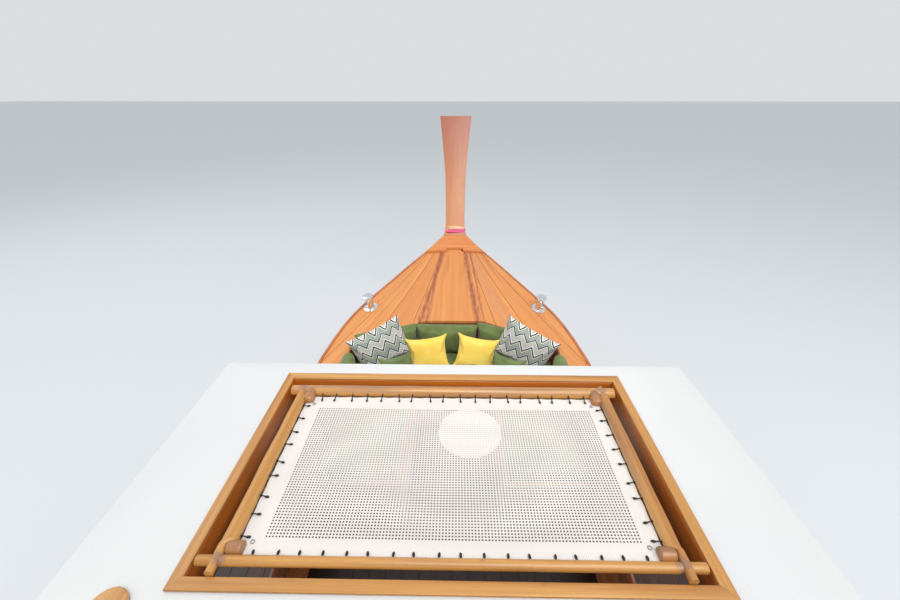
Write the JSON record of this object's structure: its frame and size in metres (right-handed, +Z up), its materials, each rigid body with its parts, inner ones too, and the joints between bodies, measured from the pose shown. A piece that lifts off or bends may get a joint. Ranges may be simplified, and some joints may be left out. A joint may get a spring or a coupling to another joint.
{
  "type": "longtail boat",
  "caption": "Wooden longtail boat with a tall flared stem, a flat cabin roof with a laced sun net, a cushioned bow lounge and a pivoting engine with a long propeller shaft.",
  "frame": {"origin": "on the waterline amidships, on the centre line", "axes": "+X towards the bow, +Y to port, +Z up from the water"},
  "size_m": [17.2844, 3.3112, 3.952],
  "materials": {
    "hull_paint": "varnished planking",
    "teak": "gloss varnish",
    "pale_teak": "gloss varnish",
    "dark_teak": "satin varnish",
    "white_panel": "satin gelcoat",
    "net_cloth": "matte mesh",
    "green_cloth": "matte weave",
    "yellow_cloth": "matte weave",
    "chevron_cloth": "matte weave",
    "ribbon_cloth": "satin cloth",
    "stainless": "polished",
    "engine_paint": "enamel",
    "cast_alloy": "as cast",
    "black_steel": "satin paint",
    "bronze": "satin"
  },
  "bodies": {
    "hull": {"hull_shell": "hull_paint", "stem_post": "teak", "rub_rail_port": "teak", "rub_rail_starboard": "teak", "side_deck_port": "teak", "side_deck_starboard": "teak", "foredeck_port": "teak", "foredeck_starboard": "teak", "king_plank": "teak", "breasthook": "teak", "coaming_port": "teak", "coaming_starboard": "teak", "cabin_sole": "teak", "aft_deck": "teak", "roof_step_pad": "teak", "net_coaming": "pale_teak", "net_frame": "pale_teak", "roof_hoop_1": "pale_teak", "roof_hoop_2": "pale_teak", "roof_hoop_3": "pale_teak", "roof_hoop_4": "pale_teak", "bench_port": "pale_teak", "bench_starboard": "pale_teak", "lounge_bench": "pale_teak", "transom": "dark_teak", "keel": "dark_teak", "fore_bulkhead": "dark_teak", "engine_bed": "dark_teak", "roof_panel": "white_panel", "lounge_table": "white_panel", "sun_net": "net_cloth", "bench_cushion_port": "green_cloth", "bench_cushion_starboard": "green_cloth", "seat_pad_centre": "green_cloth", "seat_pad_port": "green_cloth", "seat_pad_starboard": "green_cloth", "back_cushion_centre": "green_cloth", "back_cushion_port": "green_cloth", "back_cushion_starboard": "green_cloth", "side_cushion_port": "green_cloth", "side_cushion_starboard": "green_cloth", "green_pillow_port": "green_cloth", "green_pillow_starboard": "green_cloth", "yellow_pillow_port": "yellow_cloth", "yellow_pillow_starboard": "yellow_cloth", "chevron_pillow_port": "chevron_cloth", "chevron_pillow_starboard": "chevron_cloth", "stem_ribbon": "ribbon_cloth", "bollard_port": "stainless", "bollard_starboard": "stainless"},
    "turntable": {"pivot_yoke": "black_steel"},
    "engine": {"engine_cradle": "black_steel", "engine_block": "engine_paint", "cylinder_head": "cast_alloy", "bell_housing": "cast_alloy", "front_pulley": "black_steel", "exhaust_pipe": "black_steel", "tail_tube": "stainless", "tiller": "stainless"},
    "propeller": {"propeller": "bronze"}
  },
  "joints": [
    {"name": "engine_yaw", "type": "hinge", "parent": "hull", "child": "turntable", "pos_m": [-6.05, 0, 1.25], "axis": [0, 0, 1], "range_deg": [-55, 55]},
    {"name": "engine_tilt", "type": "hinge", "parent": "turntable", "child": "engine", "pos_m": [-6.05, 0, 1.6], "axis": [0, 1, 0], "range_deg": [-11.5, 9]},
    {"name": "propeller_spin", "type": "hinge", "parent": "engine", "child": "propeller", "pos_m": [-10.15924, 0, 0.51361], "axis": [0.9703, 0, 0.2419], "continuous": true}
  ]
}
